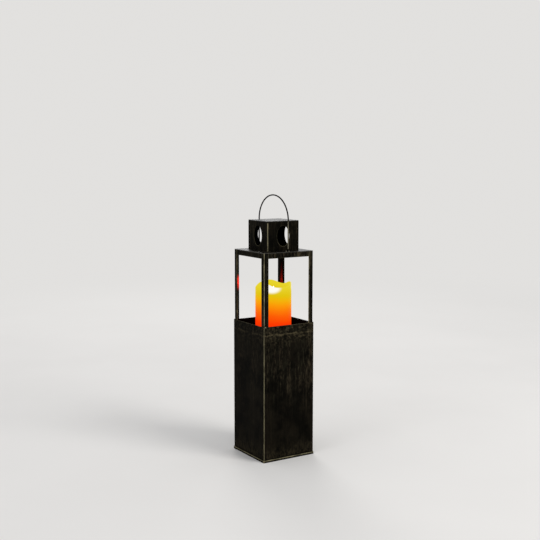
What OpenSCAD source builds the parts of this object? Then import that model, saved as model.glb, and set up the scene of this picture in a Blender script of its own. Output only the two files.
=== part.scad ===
// Lantern floor lamp: a tall square sheet-metal box that carries an open cage,
// a small square chimney with oval vents, a wire bail and a battery candle.
// Millimetres, +Z up, origin at the middle of the underside of the base.
// Seen as it usually stands, its near corner is the one at -X, -Y.

/* [Box] */
// Outer side of the square box
box_side = 120; // [100:1:150]
// Height of the box rim above the floor
box_h = 279; // [200:1:400]
// Thickness of the box sheet
box_sheet = 1.0; // [0.6:0.1:1.5]
// Inside radius of every bend in sheet and angle
bend_in = 0.5; // [0.3:0.1:1.5]

/* [Base tray] */
// Thickness of the tray's floor
tray_floor = 1.2; // [0.8:0.1:2.5]
// Thickness of the tray's up-turned lip
lip_t = 1.2; // [0.8:0.1:2]
// Height of the lip above the floor the lamp stands on
lip_h = 5.0; // [3:0.5:10]
// Gap between the lip and the box walls
lip_gap = 0.3; // [0.1:0.1:1]

/* [Candle shelf] */
// Depth of the shelf's top below the box rim
shelf_drop = 18; // [10:1:40]
// Thickness of the shelf sheet
shelf_sheet = 1.0; // [0.6:0.1:1.5]
// Height of the shelf's down-turned flange
shelf_flange = 12; // [6:1:20]

/* [Cage] */
// Height of the cage from the box rim to the underside of the roof
cage_rise = 147.5; // [135:0.5:220]
// Gap between the cage and the inside of the box walls
cage_gap = 0.1; // [0.05:0.05:0.4]
// Leg width of the angle section
angle_leg = 10.5; // [8:0.5:14]
// Thickness of the angle section
angle_t = 1.2; // [0.8:0.1:2]
// Thickness of the roof plate
roof_t = 1.0; // [0.8:0.1:2]

/* [Chimney] */
// Outer side of the square chimney
chimney_side = 75; // [65:1:80]
// Height of the chimney walls
chimney_wall_h = 60.3; // [55:0.1:80]
// Thickness of the chimney sheet
chimney_sheet = 1.0; // [0.6:0.1:1.5]
// Thickness of the chimney cap
cap_t = 1.2; // [0.8:0.1:2.5]
// Width of an oval vent
vent_w = 30; // [22:0.5:40]
// Height of an oval vent
vent_h = 41.5; // [41:0.5:50]
// Radius of the rounded top and bottom of a vent
vent_end_r = 11.5; // [9:0.1:12]

/* [Bail handle] */
// Diameter of the wire
wire_d = 2.8; // [2:0.1:3.2]
// Height of the handle's pivot above the roof plate
pivot_rise = 4.5; // [4:0.1:8]
// Gap between the chimney cap and the middle of the wire at the crown
crown_gap = 51; // [46:0.5:70]
// Rise of the arch above its straight legs
arch_rise = 50.8; // [44:0.1:58]
// Distance of each leg inside the side of the cage
leg_inset = 1.5; // [0:0.1:3]
// Radius of the bend at the foot of each leg
foot_r = 2.4; // [2:0.1:4]
// Length of wire that shows inside each lug
pin_tail = 2.0; // [1:0.1:4]
// Width of a lug
lug_w = 8; // [7:0.5:12]
// Thickness of a lug
lug_t = 1.6; // [1:0.1:3]
// Gap between a lug and the bend beside it
lug_side_gap = 0.3; // [0.2:0.1:0.6]
// Radial clearance of the wire in the lug's hole
pin_clearance = 0.1; // [0.05:0.01:0.1]

/* [Candle wax] */
// Diameter of the candle
candle_d = 75; // [70:0.5:80]
// Mean height of the wavy rim above the candle's foot
candle_h = 95.3; // [92:0.1:110]
// Gap between the candle's foot and the shelf
seat_gap = 0.3; // [0.2:0.1:0.5]
// Size of the rim's waves, from one-fold to five-fold
rim_waves = [0.5, 2.4, 4.1, 1.0, 1.35];
// Turn of each wave, in degrees
rim_turns = [89, 56, -108, 12, -79];
// Thickness of the wax at the rim
rim_t = 4.0; // [3:0.5:7]
// Depth of the bowl below the mean rim
bowl_depth = 23; // [18:0.5:26]
// Radius of the bowl's floor
bowl_floor_r = 24; // [16:0.5:26]
// Radius of the wax cavity that takes the plastic base
cavity_r = 33; // [32.6:0.1:34.5]
// Thickness of the wax between the bowl and that cavity
bowl_wax = 8.3; // [6:0.1:12]
// Radius of the soft round on both edges of the rim
rim_round = 1.6; // [0.6:0.1:2]
// Size of the soft corner where the bowl meets its floor
bowl_corner = 2.2; // [1:0.1:4]
// Hollow of the bowl's wall, half-way down
bowl_hollow = 1.2; // [0.4:0.1:2]
// Radius of the hole for the flame tip
flame_hole_r = 4.2; // [4.1:0.1:6]

/* [Flame tip and LED] */
// Radius of the flame tip's stalk
flame_r = 3.9; // [3.6:0.1:4]
// Height of the flame tip's stalk
stalk_h = 12; // [10:0.5:14]
// Height of the pointed part above the stalk
flame_h = 17; // [12:0.5:20]
// Radius of the LED
led_r = 2.5; // [2:0.1:2.5]
// Height of the LED up to its dome
led_h = 7.5; // [5:0.1:8.5]
// Radius of the LED's collar
collar_r = 3.0; // [2.9:0.1:3.1]
// Thickness of the collar
collar_h = 1.0; // [0.6:0.1:1.4]
// Gap between the LED and the hollow flame tip
led_gap = 0.3; // [0.2:0.1:0.35]
// Gap between the stem that carries the LED and the cavity's ceiling
stem_gap = 3.4; // [2:0.1:6]
// Outer radius of the stem
stem_r = 5; // [4.5:0.1:6]
// Wall of the stem
stem_wall = 1.6; // [1:0.1:1.8]
// Radius of one lead
lead_r = 0.55; // [0.4:0.05:0.6]
// Distance between the two leads
lead_pitch = 2.54; // [2:0.01:3]

/* [Candle base] */
// Gap between the plastic base and the wax
base_gap = 0.3; // [0.1:0.1:0.5]
// Wall of the plastic base
base_wall = 1.6; // [1.2:0.1:2]
// Height of the base's skirt
skirt_h = 14; // [10:0.5:20]
// Thickness of the base's floor
base_floor = 2.4; // [2:0.1:3]
// Height of the base's floor above the candle's foot
base_recess = 0.5; // [0.3:0.1:1]
// Diameter of a cell
cell_d = 14.2; // [13.5:0.1:14.5]
// Length of a cell's can
cell_l = 49.4; // [47:0.1:49.6]
// Diameter of a cell's nub
nub_d = 5.5; // [4:0.1:6]
// Length of a cell's nub
nub_l = 1.0; // [0.8:0.1:1.2]
// Gap between the cells and between a cell and the bay
cell_gap = 0.3; // [0.2:0.1:0.4]
// Thickness of a contact plate
contact_t = 0.4; // [0.3:0.1:0.6]
// Width and height of a contact plate
contact_side = 10; // [8:0.5:12]
// Length of a battery spring as fitted
spring_l = 4.4; // [4:0.1:4.6]
// Radius of a battery spring at its plate
spring_foot_r = 4.4; // [3.6:0.1:4.6]
// Radius of a battery spring at the cell
spring_tip_r = 2.4; // [2:0.1:3]
// Wire of a battery spring
spring_wire_d = 0.7; // [0.5:0.1:0.8]
// Turns of a battery spring
spring_turns = 2.5; // [2:0.5:3]
// Thickness of the bay's walls and ceiling
bay_wall = 1.3; // [1:0.1:1.6]

/* [Battery door] */
// Gap round the battery door
door_gap = 0.25; // [0.15:0.05:0.4]
// Overlap of the door beyond the bay on each long side
door_lap = 1.0; // [0.6:0.1:1.1]
// Overlap of the door beyond the bay at each end
door_end_lap = 0.5; // [0.3:0.1:0.6]
// Radius of the door's corners
door_corner_r = 8; // [7:0.5:10]
// Radius of the ear that takes the screw
ear_r = 4.6; // [4:0.1:5]
// Distance of the screw from the candle's axis
screw_y = 21; // [20:0.5:22.5]
// Radius of the screw's head
head_r = 2.4; // [2:0.1:2.8]
// Height of the screw's head
head_h = 1.2; // [0.8:0.1:1.3]
// Radius of the screw's shank
shank_r = 1.25; // [1:0.05:1.5]
// Length of the screw's shank
shank_l = 8; // [6:0.5:9]
// Radial gap round the screw
screw_gap = 0.15; // [0.1:0.05:0.2]
// Wall of the boss that takes the screw
boss_wall = 1.8; // [1.2:0.1:2.2]
// Thickness of the rib that ties the boss to the base
rib_t = 2.0; // [1.2:0.1:3]
// Length of each cross slot in the head
slot_l = 3.4; // [2.4:0.1:3.6]
// Width of the cross slots in the head
slot_w = 0.6; // [0.4:0.1:0.8]
// Depth of the cross slots
slot_depth = 0.7; // [0.4:0.1:0.8]

/* [Switch] */
// Distance of the switch from the candle's axis
switch_y = 23.5; // [22:0.5:24.5]
// Size of the switch body along its travel
switch_l = 11; // [10:0.5:13]
// Size of the switch body across its travel
switch_w = 4.6; // [4:0.1:5]
// Height of the switch body
switch_h = 4.5; // [4:0.1:6]
// Travel of the slider between off and on
switch_travel = 3.0; // [2:0.1:4]
// Length of the slider's knob
knob_l = 2.6; // [2:0.1:3]
// Width of the slider's knob
knob_w = 2.0; // [1.6:0.1:2.4]
// Depth of the knob's foot below the floor plate's top
knob_reach = 2.0; // [1.5:0.1:2.2]
// Depth of the slider's stalk inside the switch body
stalk_in = 1.6; // [1.2:0.1:2]
// Gap round the slider
slider_gap = 0.3; // [0.2:0.1:0.35]

/* [Circuit board] */
// Length of the board
board_l = 30; // [26:0.5:34]
// Width of the board
board_w = 20; // [18:0.5:24]
// Thickness of the board
board_t = 1.6; // [1:0.1:2]
// Side of the timer chip
chip_side = 5; // [4:0.5:6]
// Height of the timer chip
chip_h = 1.5; // [1:0.1:2]

/* [Hidden] */

round_fn = 48;
wax_fn = 72;
wax_facets = 72;
arch_sides = 16;
arch_steps = 48;
facet_skin = 0.03;
spring_sides = 6;
spring_steps_per_turn = 16;
through = 1;

// Levels above the floor
tray_side = box_side + 2 * (lip_gap + lip_t);
shelf_z = box_h - shelf_drop;
cage_side = box_side - 2 * box_sheet - 2 * cage_gap;
roof_z = box_h + cage_rise;
deck_z = roof_z + roof_t;
cap_z = deck_z + chimney_wall_h;
chimney_top = cap_z + cap_t;
vent_z = deck_z + (chimney_wall_h + cap_t) / 2;
rail_len = cage_side - 2 * angle_leg;

// Handle
wire_r = wire_d / 2;
leg_y = cage_side / 2 - leg_inset - wire_r;
pivot_z = deck_z + pivot_rise;
crown_z = chimney_top + crown_gap;
leg_h = crown_z - arch_rise - pivot_z;
arch_r = (wire_r + facet_skin) / cos(180 / arch_sides);
lug_outer_y = leg_y - foot_r - lug_side_gap;
lug_inner_y = lug_outer_y - lug_t;

// Candle
candle_r = candle_d / 2;
candle_z = shelf_z + seat_gap;
bowl_floor_z = candle_h - bowl_depth;
cavity_h = bowl_floor_z - bowl_wax;
base_r = cavity_r - base_gap;
base_z = candle_z + base_recess;
base_top = base_z + base_floor;
skirt_inner_r = base_r - base_wall;
cell_r = cell_d / 2;
cell_y = cell_r + cell_gap / 2;
cell_z = base_top + cell_gap + cell_r;
bay_half_l = (cell_l + nub_l + spring_l + 2 * contact_t) / 2 + cell_gap / 2;
bay_half_w = cell_y + cell_r + cell_gap;
bay_h = cell_d + 2 * cell_gap;
bay_top = base_top + bay_h + bay_wall;
board_top = bay_top + board_t;
stem_top = candle_z + cavity_h - stem_gap;
stem_h = stem_top - board_top;
flame_z = stem_top + collar_h;
door_half_l = bay_half_l + door_end_lap;
door_half_w = bay_half_w + door_lap;
boss_r = shank_r + screw_gap + boss_wall;
screw_hole_h = head_h + shank_l + screw_gap;
boss_h = screw_hole_h - base_floor + boss_wall;

// ---- shared shapes ----

// Strip bent square at the origin, one leg along +X and one along +Y
module bent_strip(leg_x, leg_y, t) {
    r = bend_in + t;
    translate([r, 0]) square([leg_x - r, t]);
    translate([0, r]) square([t, leg_y - r]);
    intersection() {
        translate([r, r]) difference() {
            circle(r, $fn = round_fn);
            circle(bend_in, $fn = round_fn);
        }
        square(r);
    }
}

// Centred rectangle with round corners
module round_rect(w, d, r) {
    square([w - 2 * r, d], center = true);
    square([w, d - 2 * r], center = true);
    for (x = [-1, 1], y = [-1, 1])
        translate([x * (w / 2 - r), y * (d / 2 - r)]) circle(r, $fn = round_fn);
}

// Centred square with the sheet's bend radius on its corners
module sheet_square(side, t) {
    round_rect(side, side, bend_in + t);
}

// Upright oval of four arcs, centred, height along Y
module oval(w, h, end_r) {
    a = w / 2;
    b = h / 2;
    side_r = (a * a + pow(b - end_r, 2) - end_r * end_r) / (2 * (a - end_r));
    meet = side_r * (b - end_r) / (side_r - end_r);
    for (s = [-1, 1]) translate([0, s * (b - end_r)]) circle(end_r, $fn = round_fn);
    intersection() {
        side_lens(side_r, a);
        square([w, 2 * meet], center = true);
    }
}

// Lens shared by the two circles that form an oval's long sides
module side_lens(side_r, a) {
    intersection() {
        translate([a - side_r, 0]) circle(side_r, $fn = 2 * round_fn);
        translate([side_r - a, 0]) circle(side_r, $fn = 2 * round_fn);
    }
}

// ---- sheet-metal body ----

// Half of the box, bent at the corner at -X, -Y
module box_half() {
    translate([-box_side / 2, -box_side / 2, tray_floor])
        linear_extrude(box_h - tray_floor)
            bent_strip(box_side, box_side - box_sheet, box_sheet);
}

module box_shell_front() {
    color([0.13, 0.12, 0.09]) box_half();
}

module box_shell_rear() {
    color([0.12, 0.11, 0.08]) rotate(180) box_half();
}

module base_tray() {
    color([0.18, 0.16, 0.12]) difference() {
        linear_extrude(lip_h) sheet_square(tray_side, lip_t);
        translate([0, 0, tray_floor])
            linear_extrude(lip_h) sheet_square(tray_side - 2 * lip_t, 0);
    }
}

module candle_shelf() {
    color([0.10, 0.09, 0.07]) translate([0, 0, shelf_z - shelf_flange]) difference() {
        linear_extrude(shelf_flange) sheet_square(cage_side, shelf_sheet);
        translate([0, 0, -shelf_sheet])
            linear_extrude(shelf_flange) sheet_square(cage_side - 2 * shelf_sheet, 0);
    }
}

// Corner post: corner 0 is at -X, -Y and the others follow anticlockwise
module corner_post(corner) {
    color([0.20, 0.18, 0.14]) rotate(90 * corner)
        translate([-cage_side / 2, -cage_side / 2, shelf_z])
            linear_extrude(roof_z - shelf_z) bent_strip(angle_leg, angle_leg, angle_t);
}

// Top rail: side 0 faces -Y and the others follow anticlockwise
module top_rail(side) {
    color([0.19, 0.17, 0.13]) rotate(90 * side)
        translate([rail_len / 2, -cage_side / 2, roof_z]) rotate([0, 90, 180])
            mirror([0, 1, 0]) linear_extrude(rail_len)
                bent_strip(angle_leg, angle_leg, angle_t);
}

module roof_plate() {
    color([0.22, 0.20, 0.16]) translate([0, 0, roof_z])
        linear_extrude(roof_t) sheet_square(cage_side, angle_t);
}

// Oval vents through all four walls
module vents() {
    for (turn = [0, 90])
        translate([0, 0, vent_z]) rotate([90, 0, turn])
            linear_extrude(chimney_side + 2 * through, center = true)
                oval(vent_w, vent_h, vent_end_r);
}

module chimney_half() {
    difference() {
        translate([-chimney_side / 2, -chimney_side / 2, deck_z])
            linear_extrude(chimney_wall_h)
                bent_strip(chimney_side, chimney_side - chimney_sheet, chimney_sheet);
        vents();
    }
}

module chimney_shell_front() {
    color([0.15, 0.13, 0.10]) chimney_half();
}

module chimney_shell_rear() {
    color([0.14, 0.12, 0.09]) rotate(180) chimney_half();
}

module chimney_cap() {
    color([0.22, 0.20, 0.16]) translate([0, 0, cap_z])
        linear_extrude(cap_t) sheet_square(chimney_side, chimney_sheet);
}

// ---- bail handle ----

// Lug on the side that faces -Y
module bail_lug() {
    color([0.25, 0.23, 0.18]) difference() {
        union() {
            translate([-lug_w / 2, -lug_outer_y, deck_z]) cube([lug_w, lug_t, pivot_rise]);
            translate([0, -lug_inner_y, pivot_z]) rotate([90, 0, 0])
                cylinder(r = lug_w / 2, h = lug_t, $fn = round_fn);
        }
        translate([0, -lug_inner_y + through, pivot_z]) rotate([90, 0, 0])
            cylinder(r = wire_r + pin_clearance, h = lug_t + 2 * through, $fn = round_fn);
    }
}

module bail_lug_front() {
    bail_lug();
}

module bail_lug_rear() {
    rotate(180) bail_lug();
}

// One side of the handle, on +Y: pin, foot bend and leg
module bail_side() {
    translate([0, leg_y - foot_r, pivot_z]) rotate([90, 0, 0])
        cylinder(r = wire_r, h = leg_y - foot_r - lug_inner_y + pin_tail, $fn = 24);
    translate([0, leg_y - foot_r, pivot_z + foot_r]) rotate([90, 0, 90]) rotate(-90)
        rotate_extrude(angle = 90, $fn = round_fn)
            translate([foot_r, 0]) circle(wire_r, $fn = 24);
    translate([0, leg_y, pivot_z + foot_r])
        cylinder(r = wire_r, h = leg_h - foot_r, $fn = 24);
}

// Ring of wire at an angle along the half-ellipse of the arch
function arch_ring(a) =
    let (n = [cos(a) / leg_y, sin(a) / arch_rise] / norm([cos(a) / leg_y, sin(a) / arch_rise]))
    [for (k = [0 : arch_sides - 1])
        let (b = 360 * k / arch_sides, out = arch_r * cos(b))
        [arch_r * sin(b), leg_y * cos(a) + out * n[0], arch_rise * sin(a) + out * n[1]]];

module arch() {
    points = [for (i = [0 : arch_steps]) each arch_ring(180 * i / arch_steps)];
    polyhedron(points = points, faces = tube_faces(arch_steps, arch_sides), convexity = 4);
}

// Faces of a swept tube of rings, closed at both ends
function tube_faces(steps, sides) = concat(
    [[for (k = [sides - 1 : -1 : 0]) k]],
    [for (i = [0 : steps - 1], k = [0 : sides - 1])
        let (a = i * sides + k, b = i * sides + (k + 1) % sides)
            each [[a, b, a + sides], [b, b + sides, a + sides]]],
    [[for (k = [0 : sides - 1]) steps * sides + k]]);

module bail_handle() {
    color([0.24, 0.22, 0.17]) {
        bail_side();
        rotate(180) bail_side();
        translate([0, 0, pivot_z + leg_h]) arch();
    }
}

// ---- candle ----

// Height of the wavy rim above the candle's foot at an angle
function rim_height(a) = candle_h
    + sum([for (i = [0 : len(rim_waves) - 1]) rim_waves[i] * cos((i + 1) * a - rim_turns[i])]);

function sum(list) = list * [for (v = list) 1];

// Radius and height of the wax skin at an angle, from the foot's middle,
// up the outside, over the soft rim and down into the bowl
function wax_profile(a) =
    let (top = rim_height(a), r_in = candle_r - rim_t, soft = min(rim_round, 0.45 * rim_t))
    [[candle_r, 0],
     [candle_r, top - soft],
     [candle_r - soft * (1 - cos(45)), top - soft * (1 - cos(45))],
     [candle_r - soft, top],
     [r_in + soft, top],
     [r_in, top - soft],
     [r_in - bowl_hollow, (top + bowl_floor_z) / 2],
     [bowl_floor_r + bowl_corner, bowl_floor_z + bowl_corner],
     [bowl_floor_r, bowl_floor_z]];

function wax_ring_points() = [
    for (i = [0 : wax_facets - 1])
        let (a = 360 * i / wax_facets)
            for (p = wax_profile(a)) [p[0] * cos(a), p[0] * sin(a), p[1]]];

module wax_body() {
    n = len(wax_profile(0));
    points = concat(wax_ring_points(), [[0, 0, 0], [0, 0, bowl_floor_z]]);
    foot = n * wax_facets;
    faces = [
        for (i = [0 : wax_facets - 1])
            let (p = i * n, q = ((i + 1) % wax_facets) * n)
                each concat(
                    [[foot, p, q], [foot + 1, q + n - 1, p + n - 1]],
                    [for (k = [0 : n - 2])
                        each [[p + k, p + k + 1, q + k], [q + k, p + k + 1, q + k + 1]]])];
    polyhedron(points = points, faces = faces, convexity = 6);
}

module candle_shell() {
    color([0.95, 0.80, 0.45]) translate([0, 0, candle_z]) difference() {
        wax_body();
        translate([0, 0, -through]) cylinder(r = cavity_r, h = cavity_h + through, $fn = wax_fn);
        cylinder(r = flame_hole_r, h = candle_h, $fn = round_fn);
    }
}

// Hollow stalk with a pointed flame above it
module flame_tip() {
    color([1.0, 0.93, 0.70]) translate([0, 0, flame_z]) rotate_extrude($fn = round_fn)
        difference() {
            union() {
                square([flame_r, stalk_h]);
                translate([0, stalk_h]) intersection() {
                    translate([flame_r - flame_bow_r(), 0])
                        circle(flame_bow_r(), $fn = 2 * round_fn);
                    square([flame_r, flame_h]);
                }
            }
            square([led_r + led_gap, led_h + led_r - collar_h + led_gap]);
        }
}

// Radius of the arc that closes the flame to a point
function flame_bow_r() = (flame_r * flame_r + flame_h * flame_h) / (2 * flame_r);

module led() {
    color([1.0, 0.95, 0.80]) translate([0, 0, stem_top]) {
        cylinder(r = collar_r, h = collar_h, $fn = round_fn);
        cylinder(r = led_r, h = led_h, $fn = round_fn);
        translate([0, 0, led_h]) sphere(r = led_r, $fn = round_fn);
    }
}

module led_stem() {
    color([0.92, 0.91, 0.88]) translate([0, 0, board_top]) difference() {
        cylinder(r = stem_r, h = stem_h, $fn = round_fn);
        translate([0, 0, -through])
            cylinder(r = stem_r - stem_wall, h = stem_h + 2 * through, $fn = round_fn);
    }
}

module led_leads() {
    color([0.75, 0.12, 0.10])
        for (side = [-1, 1]) translate([side * lead_pitch / 2, 0, board_top])
            cylinder(r = lead_r, h = stem_h, $fn = 24);
}

module circuit_board() {
    color([0.10, 0.40, 0.18]) {
        translate([-board_l / 2, -board_w / 2, bay_top]) cube([board_l, board_w, board_t]);
        translate([(board_l / 2 + stem_r - chip_side) / 2, -chip_side / 2, board_top])
            cube([chip_side, chip_side, chip_h]);
    }
}

// Outline of the battery door and its ear
module door_outline() {
    round_rect(2 * door_half_l, 2 * door_half_w, door_corner_r);
    translate([0, screw_y]) circle(ear_r, $fn = round_fn);
    translate([-ear_r, 0]) square([2 * ear_r, screw_y]);
}

// Space for cells, contacts and springs, seen from above
module bay_outline() {
    intersection() {
        square([2 * bay_half_l, 2 * bay_half_w], center = true);
        circle(skirt_inner_r, $fn = wax_fn);
    }
}

module candle_base() {
    color([0.90, 0.88, 0.83]) difference() {
        union() {
            translate([0, 0, base_z]) cylinder(r = base_r, h = base_floor, $fn = wax_fn);
            translate([0, 0, base_z]) difference() {
                cylinder(r = base_r, h = skirt_h, $fn = wax_fn);
                cylinder(r = skirt_inner_r, h = skirt_h + through, $fn = wax_fn);
            }
            translate([0, 0, base_z]) linear_extrude(bay_top - base_z) intersection() {
                square(2 * [bay_half_l + bay_wall, bay_half_w + bay_wall], center = true);
                circle(base_r, $fn = wax_fn);
            }
            translate([0, screw_y, base_top]) cylinder(r = boss_r, h = boss_h, $fn = round_fn);
            translate([-rib_t / 2, bay_half_w, base_top])
                cube([rib_t, skirt_inner_r - bay_half_w, boss_h]);
        }
        translate([0, 0, base_top - through])
            linear_extrude(bay_h + through) bay_outline();
        translate([0, 0, base_z - through])
            linear_extrude(base_floor + through) door_recess();
        translate([0, screw_y, base_z])
            cylinder(r = shank_r + screw_gap, h = screw_hole_h, $fn = 24);
        translate([-knob_l / 2 - slider_gap, -switch_y - knob_w / 2 - slider_gap,
                   base_z - through])
            cube([knob_l + switch_travel + 2 * slider_gap, knob_w + 2 * slider_gap,
                  base_floor + 2 * through]);
    }
}

// Opening in the base's floor that the door fills
module door_recess() {
    round_rect(2 * (door_half_l + door_gap), 2 * (door_half_w + door_gap),
               door_corner_r + door_gap);
    translate([0, screw_y]) circle(ear_r + door_gap, $fn = round_fn);
    translate([-ear_r - door_gap, 0]) square([2 * (ear_r + door_gap), screw_y]);
}

module battery_door() {
    color([0.88, 0.86, 0.81]) translate([0, 0, base_z]) difference() {
        linear_extrude(base_floor) door_outline();
        translate([0, screw_y, -through])
            cylinder(r = head_r + screw_gap, h = head_h + through, $fn = round_fn);
        translate([0, screw_y, 0])
            cylinder(r = shank_r + screw_gap, h = base_floor + through, $fn = 24);
    }
}

module door_screw() {
    color([0.70, 0.70, 0.72]) translate([0, screw_y, base_z]) difference() {
        union() {
            cylinder(r = head_r, h = head_h, $fn = round_fn);
            cylinder(r = shank_r, h = head_h + shank_l, $fn = 24);
        }
        for (turn = [0, 90]) rotate(turn)
            translate([-slot_l / 2, -slot_w / 2, -through])
                cube([slot_l, slot_w, slot_depth + through]);
    }
}

// Cell along X with its nub at +X
module cell() {
    translate([-bay_half_l + contact_t + spring_l, 0, cell_z]) rotate([0, 90, 0]) {
        cylinder(r = cell_r, h = cell_l, $fn = round_fn);
        cylinder(d = nub_d, h = cell_l + nub_l, $fn = round_fn);
    }
}

module cell_front() {
    color([0.25, 0.27, 0.30]) translate([0, -cell_y, 0]) cell();
}

module cell_rear() {
    color([0.25, 0.27, 0.30]) rotate(180) translate([0, -cell_y, 0]) cell();
}

// Plate against the end wall of the bay, behind a spring or a nub
module contact_plate(x) {
    translate([x, -contact_side / 2, cell_z - contact_side / 2])
        cube([contact_t, contact_side, contact_side]);
}

module battery_contacts() {
    color([0.80, 0.78, 0.70]) for (turn = [0, 180]) rotate(turn) translate([0, -cell_y, 0]) {
        contact_plate(-bay_half_l);
        contact_plate(bay_half_l - contact_t);
    }
}

// Points of one ring of a conical spring's wire, t from 0 to 1 along it
function spring_ring(t) =
    let (a = 360 * spring_turns * t,
         r = spring_foot_r + (spring_tip_r - spring_foot_r) * t,
         z = spring_wire_d / 2 + (spring_l - spring_wire_d) * t)
    [for (k = [0 : spring_sides - 1])
        let (b = 360 * k / spring_sides,
             rr = r + spring_wire_d / 2 * cos(b))
        [rr * cos(a), rr * sin(a), z - spring_wire_d / 2 * sin(b)]];

module conical_spring() {
    steps = spring_turns * spring_steps_per_turn;
    points = [for (i = [0 : steps]) each spring_ring(i / steps)];
    polyhedron(points = points, faces = tube_faces(steps, spring_sides), convexity = 8);
}

module battery_springs() {
    color([0.75, 0.75, 0.77]) for (turn = [0, 180]) rotate(turn)
        translate([-bay_half_l + contact_t, -cell_y, cell_z]) rotate([0, 90, 0])
            conical_spring();
}

module switch_body() {
    color([0.15, 0.15, 0.16]) difference() {
        translate([(switch_travel - switch_l) / 2, -switch_y - switch_w / 2, base_top])
            cube([switch_l, switch_w, switch_h]);
        translate([-knob_l / 2 - slider_gap, -switch_y - knob_w / 2 - slider_gap,
                   base_top - through])
            cube([knob_l + switch_travel + 2 * slider_gap, knob_w + 2 * slider_gap,
                  stalk_in + slider_gap + through]);
    }
}

// Slider at its on end, free to move towards +X
module switch_slider() {
    color([0.85, 0.85, 0.83])
        translate([-knob_l / 2, -switch_y - knob_w / 2, base_top - knob_reach])
            cube([knob_l, knob_w, knob_reach + stalk_in]);
}

// ---- parts ----

base_tray();
box_shell_front();
box_shell_rear();
candle_shelf();
corner_post(0);  // corner_post_front_left
corner_post(1);  // corner_post_front_right
corner_post(2);  // corner_post_rear_right
corner_post(3);  // corner_post_rear_left
top_rail(0);  // top_rail_front
top_rail(1);  // top_rail_right
top_rail(2);  // top_rail_rear
top_rail(3);  // top_rail_left
roof_plate();
chimney_shell_front();
chimney_shell_rear();
chimney_cap();
bail_lug_front();
bail_lug_rear();
bail_handle();
candle_shell();
flame_tip();
led();
led_stem();
led_leads();
circuit_board();
candle_base();
cell_front();
cell_rear();
battery_springs();
battery_contacts();
battery_door();
door_screw();
switch_body();
switch_slider();
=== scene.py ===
"""Looks of the lantern floor lamp: finishes, smooth wax, wire, weld beads, floor, lights and camera.

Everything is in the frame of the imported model. Sizes are in millimetres, and MM turns them into
metres where a mesh or a lamp of the candle is made. Only the studio's lamps and the camera are
given in metres.
"""
import math

import bmesh
import bpy
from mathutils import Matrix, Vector, noise


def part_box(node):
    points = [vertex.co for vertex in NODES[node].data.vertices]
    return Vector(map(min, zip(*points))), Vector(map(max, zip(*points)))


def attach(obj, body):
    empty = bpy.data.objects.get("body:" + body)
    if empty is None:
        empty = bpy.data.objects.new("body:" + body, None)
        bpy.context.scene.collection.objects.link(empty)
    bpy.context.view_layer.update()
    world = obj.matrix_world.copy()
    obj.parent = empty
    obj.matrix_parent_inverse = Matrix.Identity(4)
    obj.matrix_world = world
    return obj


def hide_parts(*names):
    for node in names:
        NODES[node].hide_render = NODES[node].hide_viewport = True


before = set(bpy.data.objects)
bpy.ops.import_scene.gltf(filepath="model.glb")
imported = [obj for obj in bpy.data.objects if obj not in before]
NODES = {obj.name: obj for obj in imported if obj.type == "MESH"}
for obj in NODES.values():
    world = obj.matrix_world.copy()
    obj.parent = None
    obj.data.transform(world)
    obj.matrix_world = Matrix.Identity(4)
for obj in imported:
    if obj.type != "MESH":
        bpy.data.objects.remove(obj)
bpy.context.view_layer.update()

MM = 0.001

# ---- sizes that follow the construction, in millimetres ----


def node_box(name):
    """Lowest and highest corner of a node, in millimetres."""
    lo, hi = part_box(name)
    return lo / MM, hi / MM


BOX_HALF = node_box("box_shell_front")[1].x
BOX_TOP = node_box("box_shell_front")[1].z
TRAY_HALF = node_box("base_tray")[1].x
LIP_TOP = node_box("base_tray")[1].z
CAGE_HALF = node_box("roof_plate")[1].x
ROOF_Z, DECK_Z = node_box("roof_plate")[0].z, node_box("roof_plate")[1].z
RAIL_LOW = node_box("top_rail_front")[0].z
CHIMNEY_HALF = node_box("chimney_cap")[1].x
CHIMNEY_TOP = node_box("chimney_cap")[1].z
CANDLE_Z = node_box("candle_shell")[0].z
CANDLE_R = node_box("candle_shell")[1].x

# Angle section of the posts and rails, and the half side at which the posts' cut edges lie
ANGLE_T, ANGLE_LEG = 1.2, 10.5
POST_IN = CAGE_HALF - ANGLE_LEG

# The four upright corners, each with its signs of X and Y
CORNERS = {"front_left": (-1, -1), "front_right": (1, -1), "rear_right": (1, 1), "rear_left": (-1, 1)}

# Vents: an upright oval in every chimney wall
VENT_W, VENT_H = 30.0, 41.5
VENT_Z = (DECK_Z + CHIMNEY_TOP) / 2

# Bail handle: a wire whose feet bend into pins, which pass through the lugs
WIRE_R = 1.4
LEG_Y = node_box("bail_handle")[1].y - WIRE_R
PIVOT_Z = node_box("bail_handle")[0].z + WIRE_R
CROWN_Z = node_box("bail_handle")[1].z - WIRE_R
ARCH_RISE = 50.8
FOOT_R = 2.4
PIN_PAST_LUG = 2.0
PIN_END = node_box("bail_lug_rear")[0].y - PIN_PAST_LUG

# Candle wax. Each wave of the rim has its count round the candle, its height and its turn in degrees
CANDLE_H = 95.3
RIM_WAVES = ((1, 0.5, 89.0), (2, 2.4, 56.0), (3, 4.1, -108.0), (4, 1.0, 12.0), (5, 1.35, -79.0))
RIM_T = 4.0
RIM_ROUND = 1.2
BOWL_DEPTH = 23.0
BOWL_HOLLOW = 1.2
BOWL_FLOOR_R = 24.0
BOWL_WAX = 8.3
CAVITY_R = 33.0
FLAME_HOLE_R = 4.2
BOWL_Z = CANDLE_H - BOWL_DEPTH
CAVITY_H = BOWL_Z - BOWL_WAX


# ---- node graphs ----


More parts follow.
